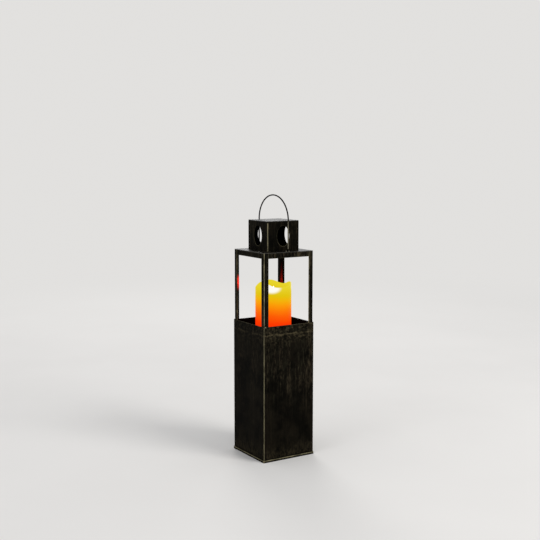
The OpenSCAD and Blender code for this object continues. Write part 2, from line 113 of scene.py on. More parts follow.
class Graph:
    """One material's node tree. A socket given as an input is linked, and a value is set."""

    def __init__(self, name):
        self.material = bpy.data.materials.new(name)
        self.material.use_nodes = True
        self.tree = self.material.node_tree
        self.tree.nodes.clear()
        self.output = self.tree.nodes.new("ShaderNodeOutputMaterial")

    def put(self, socket, value):
        if isinstance(value, bpy.types.NodeSocket):
            self.tree.links.new(value, socket)
        else:
            socket.default_value = value

    def node(self, kind, out=0, settings=None, **inputs):
        made = self.tree.nodes.new("ShaderNode" + kind)
        for key, value in (settings or {}).items():
            setattr(made, key, value)
        for key, value in inputs.items():
            place = int(key[1:]) if key[0] == "i" and key[1:].isdigit() else key.replace("_", " ")
            self.put(made.inputs[place], value)
        return made.outputs[out]

    def math(self, operation, a, b=0.0):
        return self.node("Math", settings={"operation": operation}, i0=a, i1=b)

    def chain(self, operation, first, *others):
        """One operation taken through all the values, from left to right."""
        for value in others:
            first = self.math(operation, first, value)
        return first

    def plus(self, *values):
        return self.chain("ADD", *values)

    def times(self, *values):
        return self.chain("MULTIPLY", *values)

    def most(self, *values):
        return self.chain("MAXIMUM", *values)

    def minus(self, a, b):
        return self.math("SUBTRACT", a, b)

    def rest(self, share):
        """What a share leaves of 1."""
        return self.minus(1.0, share)

    def swing(self, fac, reach):
        """A noise's value as a shift about 0, reach wide in all."""
        return self.times(self.minus(fac, 0.5), reach)

    def hypot(self, a, b):
        return self.math("SQRT", self.plus(self.times(a, a), self.times(b, b)))

    def vector(self, operation, a, b=(0, 0, 0), out=0):
        return self.node("VectorMath", out=out, settings={"operation": operation}, i0=a, i1=b)

    def scaled(self, vector, x, y, z):
        return self.vector("MULTIPLY", vector, (x, y, z))

    def split(self, vector):
        made = self.tree.nodes.new("ShaderNodeSeparateXYZ")
        self.put(made.inputs[0], vector)
        return made.outputs[0], made.outputs[1], made.outputs[2]

    def place(self):
        """The point in the frame at rest, in millimetres."""
        return self.scaled(self.node("TexCoord", out="Object"), 1000, 1000, 1000)

    def noise(self, vector, scale=1.0, detail=3.0, rough=0.55, distortion=0.0):
        return self.node("TexNoise", out="Fac", Vector=vector, Scale=scale, Detail=detail,
                         Roughness=rough, Distortion=distortion)

    def smooth(self, value, low, high, to_low=0.0, to_high=1.0):
        settings = {"interpolation_type": "SMOOTHSTEP"}
        return self.node("MapRange", settings=settings, Value=value, From_Min=low, From_Max=high,
                         To_Min=to_low, To_Max=to_high)

    def near(self, value, level, width):
        """1 where value is at level, falling to 0 at width from it."""
        return self.smooth(self.math("ABSOLUTE", self.minus(value, level)), 0.0, width, 1.0, 0.0)

    def mix(self, share, a, b):
        made = self.tree.nodes.new("ShaderNodeMix")
        made.data_type = "RGBA"
        self.put(made.inputs["Factor"], share)
        self.put(made.inputs[6], a if isinstance(a, bpy.types.NodeSocket) else (*a, 1.0))
        self.put(made.inputs[7], b if isinstance(b, bpy.types.NodeSocket) else (*b, 1.0))
        return made.outputs[2]

    def ramp(self, value, stops):
        made = self.tree.nodes.new("ShaderNodeValToRGB")
        self.put(made.inputs[0], value)
        points = made.color_ramp.elements
        while len(points) < len(stops):
            points.new(0.5)
        for point, (position, colour) in zip(points, stops):
            point.position = position
            point.color = (*colour, 1.0)
        return made.outputs[0]

    def bump(self, height, strength, distance_mm):
        return self.node("Bump", Height=height, Strength=strength, Distance=distance_mm * MM)

    def principled(self, **inputs):
        shader = self.node("BsdfPrincipled", out="BSDF", **inputs)
        self.tree.links.new(shader, self.output.inputs["Surface"])
        return self.material


def srgb(r, g, b):
    """Linear colour of an sRGB colour from 0 to 255."""
    def linear(c):
        c = c / 255
        return c / 12.92 if c <= 0.04045 else ((c + 0.055) / 1.055) ** 2.4
    return (linear(r), linear(g), linear(b))


# ---- antique metal ----

SOOT = srgb(8, 7, 5)
UMBER = srgb(19, 16, 11)
BRUSHED = srgb(70, 62, 47)
OLIVE = srgb(57, 57, 42)
RUBBED = srgb(104, 94, 70)
WORN = srgb(160, 152, 120)
# Flat dark tone for the insides of the box and chimney: painted shade
INNER_SHADE = srgb(4, 4, 4)
BLACK = (0.0, 0.0, 0.0)

# Cells per millimetre of the brush's strokes, across them and along them
STROKE_FINE, STROKE_LONG = 0.38, 0.017
BROAD_FINE, BROAD_LONG = 0.11, 0.008

# How far the weld line lies below the box's rim
WELD_DROP = 18

# Reach above and below the candle's rim in which the posts' cut edges on their inner sides are painted black
# as shade, and its fade
SHADE_REACH, SHADE_FADE = 18.0, 12.0


class Metal(Graph):
    """Node tree of a square metal piece, with the places and noises that its wear is laid by.

    corner is the half side of the square whose upright corners are worn.
    """

    def __init__(self, name, corner):
        super().__init__(name)
        self.corner = corner
        self.p = self.place()
        self.x, self.y, self.z = self.split(self.p)
        self.ax, self.ay = self.math("ABSOLUTE", self.x), self.math("ABSOLUTE", self.y)
        self.diagonal = self.math("ABSOLUTE", self.plus(self.x, self.y))
        self.grain = self.noise(self.p, 1.6, 4.0, 0.7)
        self.chips = self.noise(self.p, 0.35, 5.0, 0.7)
        self.patches = self.noise(self.p, 0.06, 3.0, 0.6)

    def left_shade(self, share=0.0):
        """Painted shade of the left face: the given share on that face, 1 away from it."""
        return self.smooth(self.x, 1.0 - self.corner, 3.0 - self.corner, share, 1.0)

    def brushed_steel(self, streak, band, streaks):
        """Soot and umber under dry-brushed streaks along an axis. Gives the colour and the streaks."""
        if streak == "Z":
            strokes = self.scaled(self.p, STROKE_FINE, STROKE_FINE, STROKE_LONG)
            broad = self.scaled(self.p, BROAD_FINE, BROAD_FINE, BROAD_LONG)
        else:
            strokes = self.scaled(self.p, STROKE_LONG, STROKE_FINE, STROKE_FINE)
            broad = self.scaled(self.p, BROAD_LONG, BROAD_FINE, BROAD_FINE)
        cloud = self.noise(self.p, 0.028, 3.0, 0.6)
        stroke = self.noise(strokes, 1.0, 5.0, 0.68, 0.3)
        wide_stroke = self.noise(broad, 1.0, 2.0, 0.5)
        mottle = self.noise(self.scaled(self.p, 0.26, 0.26, 0.12), 1.0, 4.0, 0.7)
        if band is not None:
            dashes = self.noise(self.scaled(self.p, 0.42, 0.42, 0.085), 1.0, 4.0, 0.7)
            dashed = self.smooth(self.z, band - 190, band - 40, 0.15, 0.75)
            stroke = self.plus(self.times(stroke, self.rest(dashed)), self.times(dashes, dashed))

        brushed = self.smooth(self.plus(self.times(stroke, 0.68), self.times(mottle, 0.32)), 0.46, 0.60)
        where = self.times(self.smooth(wide_stroke, 0.34, 0.60, 0.2, 1.0),
                           self.smooth(cloud, 0.30, 0.58, 0.35, 1.0))
        brushed = self.times(brushed, where, 0.48 * streaks, self.smooth(self.grain, 0.3, 0.6, 0.55, 1.0))
        # On the box the streaks grow towards the weld line, and grow less on the left face, which is painted
        # shade
        if band is not None:
            left_shade = self.left_shade()
            on_left = self.times(self.smooth(self.z, band - 170, band - 20, 0.31, 0.78), self.rest(left_shade))
            elsewhere = self.times(self.smooth(self.z, band - 190, band - 75, 0.22, 1.25), left_shade)
            brushed = self.times(brushed, self.plus(on_left, elsewhere))
        ground = self.mix(self.smooth(cloud, 0.38, 0.64), SOOT, UMBER)
        tint = self.mix(self.smooth(wide_stroke, 0.4, 0.6), OLIVE, BRUSHED)
        return self.mix(brushed, ground, tint), stroke

    def box_marks(self, colour, band):
        """Rubbed patches over the weld line and its ragged bead, both fainter on the left face as painted
        shade, a scuffed foot and the tray gap's painted shadow.
        """
        fainter = self.left_shade(0.45)
        blotch = self.noise(self.scaled(self.p, 0.16, 0.16, 0.22), 1.0, 5.0, 0.68)
        patch = self.times(self.smooth(blotch, 0.48, 0.70), self.smooth(self.z, band - 30, band), fainter)
        waver = self.plus(self.swing(self.noise(self.p, 0.035, 2.0), 9.0),
                          self.swing(self.noise(self.p, 0.22, 2.0), 7.0))
        weld = self.near(self.plus(self.z, waver, self.swing(self.grain, 3.0)), band, 2.8)
        weld = self.times(weld, self.smooth(self.noise(self.p, 0.09, 3.0), 0.42, 0.58, 0.1, 1.0), fainter)
        scuff = self.noise(self.scaled(self.p, 0.28, 0.28, 0.11), 1.0, 5.0, 0.72)
        foot = self.times(self.smooth(self.z, 42, 6), self.smooth(scuff, 0.42, 0.62))
        light = self.most(self.times(patch, 0.34), self.times(weld, 0.44), self.times(foot, 0.15))
        gap = self.near(self.z, LIP_TOP + 0.7, 1.9)
        return self.mix(self.times(gap, 0.9), self.mix(light, colour, RUBBED), BLACK)

    def corner_wear(self, width, side_share, top):
        """Wear on the upright corners, side_share of it on the two at the sides, up to top."""
        ragged = self.noise(self.scaled(self.p, 0.5, 0.5, 0.06), 1.0, 4.0, 0.65)
        reach = self.swing(ragged, 1.2 * width)
        near_x, near_y = (self.smooth(self.plus(away, reach), self.corner - width, self.corner - 0.25 * width)
                          for away in (self.ax, self.ay))
        worn = self.times(near_x, near_y,
                          self.smooth(self.diagonal, 0.8 * self.corner, 1.6 * self.corner, side_share, 1.0),
                          self.smooth(self.noise(self.p, 0.045, 2.0), 0.3, 0.6, 0.55, 1.0))
        return worn if top is None else self.times(worn, self.smooth(self.z, top, top - 1.0))

    def level_wear(self, levels):
        """A worn line for each level edge, given by its height, share and width."""
        outermost = self.smooth(self.most(self.ax, self.ay), self.corner - 2.2, self.corner - 0.8)
        height = self.plus(self.z, self.swing(self.chips, 0.3))
        return [self.times(self.near(height, level, width),
                           self.smooth(self.patches, 0.36, 0.60, 0.4 * share, share), outermost)
                for level, share, width in levels]

    def cut_edge(self, cut, width):
        """1 at the cut edges, which lie at the half side cut, falling to 0 at width from them."""
        return self.near(self.math("MINIMUM", self.ax, self.ay), cut, width)

    def cut_wear(self, cut, rim_shade):
        """Wear on the cut edges, strongest beside the side corners and none in the painted shade near the
        candle's rim.
        """
        return self.times(self.cut_edge(cut + 0.2, 1.0), self.smooth(self.patches, 0.38, 0.58, 0.3, 1.0),
                          self.smooth(self.diagonal, 0.2 * self.corner, 1.2 * self.corner, 0.77, 0.13),
                          self.rest(rim_shade))

    def rim_shade(self):
        """1 on sides that face the lantern's middle near the height of the candle's rim, where the cut edges
        get a painted shade.
        """
        away = self.math("ABSOLUTE", self.minus(self.z, CANDLE_Z + CANDLE_H))
        outward = self.vector("DOT_PRODUCT", self.node("NewGeometry", out="True Normal"),
                              self.scaled(self.p, 1, 1, 0), out="Value")
        return self.times(self.smooth(away, SHADE_REACH + SHADE_FADE, SHADE_REACH),
                          self.smooth(outward, 0.0, -10.0))

    def vent_wear(self):
        """Faint wear on the rims of the vents, most at their feet."""
        u = self.math("DIVIDE", self.math("MINIMUM", self.ax, self.ay), VENT_W / 2)
        v = self.math("DIVIDE", self.minus(self.z, VENT_Z), VENT_H / 2)
        return self.times(self.near(self.hypot(u, v), 1.0, 0.085), self.smooth(v, 0.9, -0.7, 0.15, 1.0),
                          self.smooth(self.chips, 0.38, 0.6, 0.1, 0.3))


def antique_metal(name, corner, levels=(), streak="Z", band=None, vents=False, cut=None, wear=1.0,
                  wear_width=2.2, wear_top=None, side_wear=0.3, inner=None, inner_shade=INNER_SHADE,
                  streaks=1.0, sheen=0.012):
    """Near-black brown steel with dry-brushed streaks and cream wear.

    corner is the half side of the square whose upright corners are worn, wear the strength of
    all wear, wear_width the corners' width of it, side_wear the share of it on the two corners at
    the sides and wear_top the height at which it ends. levels are the heights of worn level
    edges, each with the share and width of its wear. band is the height of the box's weld line,
    cut the half side at which cut edges lie, which are painted black as shade where they face the
    lantern's middle near the candle's rim, and inner the half side inside which the sheet takes
    the given flat dark tone as painted shade. streaks is the strength of the streaks and sheen
    that of the gloss.
    """
    g = Metal(name, corner)
    colour, stroke = g.brushed_steel(streak, band, streaks)
    if band is not None:
        colour = g.box_marks(colour, band)

    worn = g.most(g.corner_wear(wear_width, side_wear, wear_top), *g.level_wear(levels))
    if cut is not None:
        rim_shade = g.rim_shade()
        worn = g.most(worn, g.cut_wear(cut, rim_shade))
    if vents:
        worn = g.most(worn, g.vent_wear())
    worn = g.times(worn, wear)
    colour = g.mix(worn, colour, WORN)

    # Painted shade: inside the inner half side the sheet takes one flat dark tone
    if inner is not None:
        inside = g.times(g.smooth(g.ax, inner, inner - 0.2), g.smooth(g.ay, inner, inner - 0.2))
        colour = g.mix(g.times(inside, 0.95), colour, inner_shade)
    # Painted shade: the cut edges that face the lantern's middle near the candle's rim go black
    if cut is not None:
        colour = g.mix(g.times(rim_shade, g.cut_edge(cut, 0.5)), colour, BLACK)

    relief = g.plus(g.times(stroke, 0.7), g.times(g.grain, 0.5))
    smoothest = 0.46 if sheen < 0.2 else 0.22
    rough = g.minus(g.smooth(g.grain, 0.2, 0.8, smoothest, smoothest + 0.2), g.times(worn, 0.1))
    return g.principled(Base_Color=colour, Metallic=0.0, Roughness=rough, Specular_IOR_Level=sheen,
                        Normal=g.bump(relief, 0.35, 0.25))


# ---- plain materials of the handle, candle and its inside ----


def wire_metal():
    """Black wire with rubbed, paler spots and a painted highlight: a pale stripe down its legs beside the
    chimney.
    """
    g = Graph("handle_wire")
    p = g.place()
    rub = g.noise(g.scaled(p, 0.5, 0.08, 0.05), 1.0, 4.0, 0.6)
    grain = g.noise(p, 2.5, 3.0, 0.6)
    x, y, z = g.split(p)
    colour = g.mix(g.smooth(rub, 0.5, 0.75), srgb(6, 5, 5), srgb(24, 21, 17))
    # Painted highlight: a pale stripe on the legs' outer left sides, below the chimney's top
    leg_highlight = g.smooth(z, CHIMNEY_TOP + 5, CHIMNEY_TOP - 8)
    outward = g.times(g.minus(g.math("ABSOLUTE", y), LEG_Y), 0.7 / WIRE_R)
    facing = g.minus(outward, g.times(x, 0.7 / WIRE_R))
    leg_highlight = g.times(leg_highlight, g.smooth(facing, 0.72, 0.95), g.smooth(rub, 0.34, 0.56, 0.4, 1.0))
    colour = g.mix(leg_highlight, colour, srgb(142, 136, 116))
    rough = g.smooth(grain, 0.2, 0.8, 0.34, 0.5)
    return g.principled(Base_Color=colour, Metallic=0.0, Roughness=rough, Specular_IOR_Level=0.02,
                        Normal=g.bump(grain, 0.25, 0.08))


def weld_metal():
    """Bare weld bead, silvery with dark pits."""
    g = Graph("weld_bead")
    p = g.place()
    pits = g.noise(p, 0.8, 4.0, 0.65)
    grain = g.noise(p, 2.5, 3.0, 0.6)
    colour = g.mix(g.smooth(pits, 0.36, 0.56), srgb(40, 37, 29), srgb(122, 118, 100))
    return g.principled(Base_Color=colour, Metallic=g.smooth(pits, 0.4, 0.7, 0.0, 0.2),
                        Roughness=g.smooth(grain, 0.2, 0.8, 0.34, 0.52), Specular_IOR_Level=0.3,
                        Normal=g.bump(grain, 0.3, 0.2))


# Glow of the wax: heights above the candle's foot, in millimetres, with the colour at each
GLOW = ((0.0, (250, 44, 0)), (16.0, (254, 57, 0)), (31.0, (254, 92, 1)), (43.0, (254, 123, 2)),
        (54.0, (253, 154, 3)), (63.0, (245, 179, 5)), (74.0, (227, 197, 9)), (92.0, (232, 214, 44)))

# Rise of those heights per millimetre along X and Y, and their shift down
GLOW_LEAN, GLOW_DROP = (0.055, -0.035), 1.3

# Where the flame shines through the wall: direction from the axis and share of each spot, their
# height above the foot, half angle in degrees and half height
HOT_SPOTS = ((-0.605, -0.796, 1.0), (0.95, -0.3, 0.75), (-0.2, 0.98, 0.75))
HOT_Z, HOT_ANGLE, HOT_REACH = 90.0, 35, 12.6


def wax_material():
    """Glowing wax: red-orange at the foot, lemon at the rim, near white where the flame shines through."""
    g = Graph("wax")
    p = g.place()
    x, y, z = g.split(p)
    cloud = g.noise(p, 0.05, 3.0, 0.5)
    height = g.plus(g.minus(z, CANDLE_Z), g.swing(cloud, 5.0))
    lean = g.plus(g.times(x, GLOW_LEAN[0]), g.times(y, GLOW_LEAN[1]))
    height = g.plus(height, g.minus(lean, GLOW_DROP))
    stops = [(level / CANDLE_H, srgb(*colour)) for level, colour in GLOW]
    glow = g.ramp(g.math("DIVIDE", height, CANDLE_H), stops)

    spots = []
    for dx, dy, share in HOT_SPOTS:
        along = g.math("DIVIDE", g.plus(g.times(x, dx), g.times(y, dy)), CANDLE_R)
        aside = g.math("DIVIDE", g.math("ARCCOSINE", g.math("MINIMUM", along, 1.0)), math.radians(HOT_ANGLE))
        down = g.math("DIVIDE", g.minus(z, CANDLE_Z + HOT_Z), HOT_REACH)
        spots.append(g.times(g.smooth(g.hypot(aside, down), 1.06, 0.5), share))
    outer = g.smooth(g.hypot(x, y), CANDLE_R - 3.0, CANDLE_R - 1.0)
    glow = g.mix(g.times(g.most(*spots), outer), glow, (1.0, 0.98, 0.90))

    speck = g.noise(p, 0.9, 3.0, 0.6)
    skin = g.mix(0.4, glow, srgb(232, 170, 70))
    rough = g.smooth(speck, 0.3, 0.7, 0.38, 0.52)
    relief = g.plus(g.times(cloud, 1.2), g.times(speck, 0.2))
    return g.principled(Base_Color=g.mix(0.96, skin, BLACK), Roughness=rough,
                        Specular_IOR_Level=0.02, Emission_Color=glow, Emission_Strength=0.96,
                        Normal=g.bump(relief, 0.3, 0.5))


def rise_in(g, height, name):
    """Share of a node's height at which a point lies."""
    lo, hi = node_box(name)
    return g.math("DIVIDE", g.minus(height, lo.z), hi.z - lo.z)


def flame_material():
    """Translucent plastic flame, lit from inside, whiter at its tip."""
    g = Graph("flame")
    p = g.place()
    rise = rise_in(g, g.split(p)[2], "flame_tip")
    ripple = g.noise(p, 0.6, 2.0)
    colour = g.ramp(rise, [(0.0, (1.0, 0.42, 0.08)), (0.5, (1.0, 0.72, 0.25)), (0.8, (1.0, 0.98, 0.88))])
    return g.principled(Base_Color=g.mix(0.5, colour, (0.9, 0.85, 0.7)),
                        Roughness=g.smooth(ripple, 0.2, 0.8, 0.25, 0.4),
                        Emission_Color=colour, Emission_Strength=2.4)


def moulded(name, colour, shade, rough=0.45):
    """Moulded plastic: slight cloudiness and a fine spark-eroded grain."""
    g = Graph(name)
    p = g.place()
    cloud = g.noise(p, 0.08, 3.0)
    grain = g.noise(p, 3.0, 3.0, 0.6)
    return g.principled(Base_Color=g.mix(g.smooth(cloud, 0.3, 0.7), colour, shade),
                        Roughness=g.smooth(grain, 0.2, 0.8, rough - 0.07, rough + 0.1),
                        Normal=g.bump(grain, 0.2, 0.1))


def led_material():
    """Clear warm resin that glows, paler towards its tip."""
    g = Graph("led_resin")
    p = g.place()
    rise = rise_in(g, g.split(p)[2], "led")
    colour = g.ramp(rise, [(0.0, (0.95, 0.62, 0.25)), (0.5, (1.0, 0.80, 0.42)), (1.0, (1.0, 0.93, 0.75))])
    haze = g.noise(p, 1.2, 2.0)
    return g.principled(Base_Color=colour, Roughness=g.smooth(haze, 0.2, 0.8, 0.12, 0.22),
                        Emission_Color=colour, Emission_Strength=2.0)


def lead_material():
    """Two wire sleeves: red on +X and black on -X."""
    g = Graph("lead_sleeve")
    p = g.place()
    x = g.split(p)[0]
    grain = g.noise(p, 2.0, 2.0)
    colour = g.mix(g.smooth(x, -0.1, 0.1), srgb(26, 25, 26), srgb(176, 32, 26))
    return g.principled(Base_Color=g.mix(g.smooth(grain, 0.3, 0.8, 0.0, 0.2), colour, (0.3, 0.3, 0.3)),
                        Roughness=g.smooth(grain, 0.2, 0.8, 0.35, 0.5))


def board_material():
    """Green solder mask with paler tracks, and a black chip above it."""
    g = Graph("board")
    p = g.place()
    z = g.split(p)[2]
    board_top = node_box("led_stem")[0].z
    cells = g.node("TexVoronoi", out="Distance",
                   settings={"feature": "DISTANCE_TO_EDGE", "distance": "EUCLIDEAN"},
                   Vector=g.scaled(p, 0.45, 0.45, 0.0), Scale=1.0)
    track = g.smooth(cells, 0.06, 0.10, 1.0, 0.0)
    mask = g.mix(track, srgb(18, 84, 44), srgb(52, 132, 74))
    chip = g.smooth(z, board_top + 0.05, board_top + 0.15)
    grain = g.noise(p, 2.0, 2.0)
    return g.principled(Base_Color=g.mix(chip, mask, srgb(28, 28, 30)),
                        Roughness=g.smooth(grain, 0.2, 0.8, 0.3, 0.45),
                        Normal=g.bump(track, 0.3, 0.05))


# A cell's sleeve, by the distance from the cell's middle: where its coloured end starts, and its end
CELL_COLLAR, CELL_SLEEVE = 10.0, 24.5


def cell_material():
    """Sleeve without print: a dark barrel, a copper-coloured end and bare steel at both ends."""
    g = Graph("cell_sleeve")
    p = g.place()
    x, y = g.split(p)[:2]
    turned = g.smooth(y, -0.1, 0.1, 1.0, -1.0)
    along = g.times(x, turned)
    end = g.smooth(along, CELL_COLLAR - 0.2, CELL_COLLAR + 0.2)
    bare = g.smooth(g.math("ABSOLUTE", along), CELL_SLEEVE - 0.2, CELL_SLEEVE + 0.2)
    scratch = g.noise(g.scaled(p, 0.05, 1.0, 1.0), 1.0, 3.0)
    colour = g.mix(end, srgb(46, 49, 54), srgb(168, 108, 62))
    colour = g.mix(bare, colour, srgb(196, 196, 192))
    return g.principled(Base_Color=colour, Metallic=g.smooth(g.plus(bare, end), 0.2, 0.9, 0.2, 0.8),
                        Roughness=g.smooth(scratch, 0.2, 0.8, 0.25, 0.42))


def plated_material():
    """Plated steel with fine brush marks and dull stains."""
    g = Graph("plated_steel")
    p = g.place()
    brush = g.noise(g.scaled(p, 0.3, 2.5, 2.5), 1.0, 3.0)
    stain = g.noise(p, 0.2, 3.0)
    colour = g.mix(g.smooth(stain, 0.35, 0.7), srgb(206, 205, 200), srgb(176, 172, 162))
    return g.principled(Base_Color=colour, Metallic=1.0, Roughness=g.smooth(brush, 0.2, 0.8, 0.22, 0.42))


# ---- meshes ----


def new_object(name, points, faces, smooth=True):
    """Mesh object from points in millimetres in the frame."""
    mesh = bpy.data.meshes.new(name)
    mesh.from_pydata([(x * MM, y * MM, z * MM) for x, y, z in points], [], faces)
    mesh.update()
    work = bmesh.new()
    work.from_mesh(mesh)
    bmesh.ops.recalc_face_normals(work, faces=work.faces)
    work.to_mesh(mesh)
    work.free()
    for polygon in mesh.polygons:
        polygon.use_smooth = smooth
    made = bpy.data.objects.new(name, mesh)
    bpy.context.scene.collection.objects.link(made)
    return made


def loft(name, rings, ring_loop=False):
    """Skin over rings of equal length. ring_loop joins the last ring to the first, else both are closed."""
    sides, count = len(rings[0]), len(rings)
    points = [p for ring in rings for p in ring]
    faces = []
    for i in range(count if ring_loop else count - 1):
        a, b = i * sides, ((i + 1) % count) * sides
        for k in range(sides):
            n = (k + 1) % sides
            faces.append((a + k, a + n, b + n, b + k))
    if not ring_loop:
        faces.append(tuple(range(sides)))
        faces.append(tuple((count - 1) * sides + k for k in range(sides)))
    return new_object(name, points, faces)


def circle(centre, radius, across, up, sides):
    """Points of a circle in the plane of the unit vectors across and up."""
    turns = (2 * math.pi * k / sides for k in range(sides))
    return [centre + radius * (math.cos(t) * across + math.sin(t) * up) for t in turns]


def sweep(name, path, radius, sides=24):
    """Round tube along a path of points in the plane of Y and Z. radius gives the size at each share."""
    across = Vector((1, 0, 0))
    rings = []
    for i, point in enumerate(path):
        before, after = path[max(i - 1, 0)], path[min(i + 1, len(path) - 1)]
        forward = (Vector(after) - Vector(before)).normalized()
        up = across.cross(forward).normalized()
        rings.append(circle(Vector(point), radius(i / (len(path) - 1)), across, up, sides))
    return loft(name, rings)


def arc(centre, radius, start, end, steps):
    """Points (0, y, z) of an arc in the plane of the handle, angles in degrees from +Y towards +Z."""
    turns = (math.radians(start + (end - start) * i / steps) for i in range(steps + 1))
    return [(0.0, centre[0] + radius * math.cos(t), centre[1] + radius * math.sin(t)) for t in turns]


# ---- handle ----


def bail_path():
    """Middle of the wire from the end of one pin to the end of the other."""
    spring_z = CROWN_Z - ARCH_RISE
    pin_y = LEG_Y - FOOT_R
    right = [(0.0, y, PIVOT_Z) for y in (PIN_END, PIN_END + 0.15, (PIN_END + pin_y) / 2)]
    right += arc((pin_y, PIVOT_Z + FOOT_R), FOOT_R, -90, 0, 8)
    leg_steps = 14
    for i in range(1, leg_steps):
        right.append((0.0, LEG_Y, PIVOT_Z + FOOT_R + (spring_z - PIVOT_Z - FOOT_R) * i / leg_steps))
    arch_steps = 96
    crown = [(0.0, LEG_Y * math.cos(t), spring_z + ARCH_RISE * math.sin(t))
             for t in (math.pi * i / arch_steps for i in range(arch_steps + 1))]
    left = [(x, -y, z) for x, y, z in reversed(right)]
    return right + crown + left


def bail_radius(share):
    """Radius of the wire at a share of its length: a little less at its clipped ends."""
    return WIRE_R * (0.8 if share in (0.0, 1.0) else 1.0)


# ---- candle ----


def rim_height(azimuth):
    """Height of the wavy rim above the foot, azimuth in radians from +X."""
    waves = (size * math.cos(folds * azimuth - math.radians(turn)) for folds, size, turn in RIM_WAVES)
    return CANDLE_H + sum(waves)


def curve_points(knots, steps):
    """Catmull-Rom curve through knots (radius, height), steps per stretch."""
    found = []
    for i in range(len(knots) - 1):
        p0 = Vector(knots[max(i - 1, 0)])
        p1, p2 = Vector(knots[i]), Vector(knots[i + 1])
        p3 = Vector(knots[min(i + 2, len(knots) - 1)])
        for k in range(steps):
            t = k / steps
            found.append(0.5 * (2 * p1 + (p2 - p0) * t + (2 * p0 - 5 * p1 + 4 * p2 - p3) * t * t
                                + (3 * p1 - p0 - 3 * p2 + p3) * t ** 3))
    found.append(Vector(knots[-1]))
    return found


def wax_section(azimuth):
    """Closed section of the wax at an azimuth, as (radius, height above the foot)."""
    top = rim_height(azimuth)
    r_in = CANDLE_R - RIM_T
    wall_rows = 22
    wall = [Vector((CANDLE_R, 1.0 + (top - RIM_ROUND - 1.0) * i / wall_rows)) for i in range(wall_rows)]
    lip = curve_points([(CANDLE_R, top - RIM_ROUND), (CANDLE_R - 0.45, top - 0.45),
                        (CANDLE_R - RIM_ROUND, top), (r_in + RIM_ROUND, top - 0.1),
                        (r_in + 0.2, top - RIM_ROUND)], 3)
    bowl = curve_points([(r_in + 0.2, top - RIM_ROUND), (r_in - 0.4, top * 0.72 + BOWL_Z * 0.28),
                         (r_in - BOWL_HOLLOW, (top + BOWL_Z) / 2), (r_in - 3.2, BOWL_Z + 4.0),
                         (BOWL_FLOOR_R, BOWL_Z + 0.6), (14.0, BOWL_Z), (FLAME_HOLE_R + 0.6, BOWL_Z)], 4)
    inside = ((FLAME_HOLE_R, BOWL_Z - 0.6), (FLAME_HOLE_R, CAVITY_H + 0.3),
              (FLAME_HOLE_R + 0.3, CAVITY_H), (18.0, CAVITY_H), (CAVITY_R - 0.8, CAVITY_H),
              (CAVITY_R, CAVITY_H - 0.8), (CAVITY_R, 40.0), (CAVITY_R, 20.0), (CAVITY_R, 0.4),
              (CAVITY_R + 0.4, 0.0), (CANDLE_R - 0.8, 0.0), (CANDLE_R - 0.2, 0.25))
    return wall + lip[:-1] + bowl + [Vector(q) for q in inside]


def candle_wax():
    """Smooth wax shell with slow swells in its wall, as cast wax has."""
    turns = 160
    swell = 0.22
    rings = []
    for i in range(turns):
        azimuth = 2 * math.pi * i / turns
        ring = []
        for r, h in wax_section(azimuth):
            spot = Vector((r * math.cos(azimuth), r * math.sin(azimuth), h))
            shift = 0.0
            if r > CAVITY_R + 1.0 and h > 1.5:
                shift = swell * (noise.noise(spot * 0.045) - 0.5)
            elif h >= BOWL_Z - 0.1:
                shift = swell * noise.noise(spot * 0.12)
            r = r + min(shift, 0.0)
            ring.append((r * math.cos(azimuth), r * math.sin(azimuth), CANDLE_Z + h))
        rings.append(ring)
    return loft("candle_wax", rings, ring_loop=True)


# ---- weld beads ----


def weld_run(name, start, end, radius):
    """Short lumpy bead from start to end, tapered at both ends."""
    start, end = Vector(start), Vector(end)
    forward = (end - start).normalized()
    side = forward.cross(Vector((0, 0, 1)))
    if side.length < 0.1:
        side = forward.cross(Vector((1, 0, 0)))
    side.normalize()
    up = side.cross(forward)
    steps, sides = 26, 10
    ripples = max(2.0, (end - start).length / (1.1 * radius))
    rings = []
    for i in range(steps + 1):
        share = i / steps
        centre = start + (end - start) * share
        taper = math.sqrt(max(0.03, 1 - (2 * share - 1) ** 4))
        ripple = 0.86 + 0.14 * abs(math.sin(math.pi * ripples * share))
        r = radius * taper * ripple * (1 + 0.25 * noise.noise(centre * 0.9))
        rings.append(circle(centre, r, side, up, sides))
    return loft(name, rings)


# Beads at the four corners: name, half side on which they lie, how far they pass the corner,
# length, height and radius
CORNER_BEADS = (("weld_post_", BOX_HALF - 0.55, 0.1, 7.5, BOX_TOP + 0.15, 0.9),
                ("weld_chimney_", CHIMNEY_HALF + 0.1, 0.0, 9.0, DECK_Z + 0.2, 0.8))

# Bead on a lug's inner side: half length and radius. Spots on its outer side: distance from the
# middle, half length and radius
LUG_BEAD = (3.6, 0.7)
LUG_SPOT = (3.4, 1.3, 1.2)


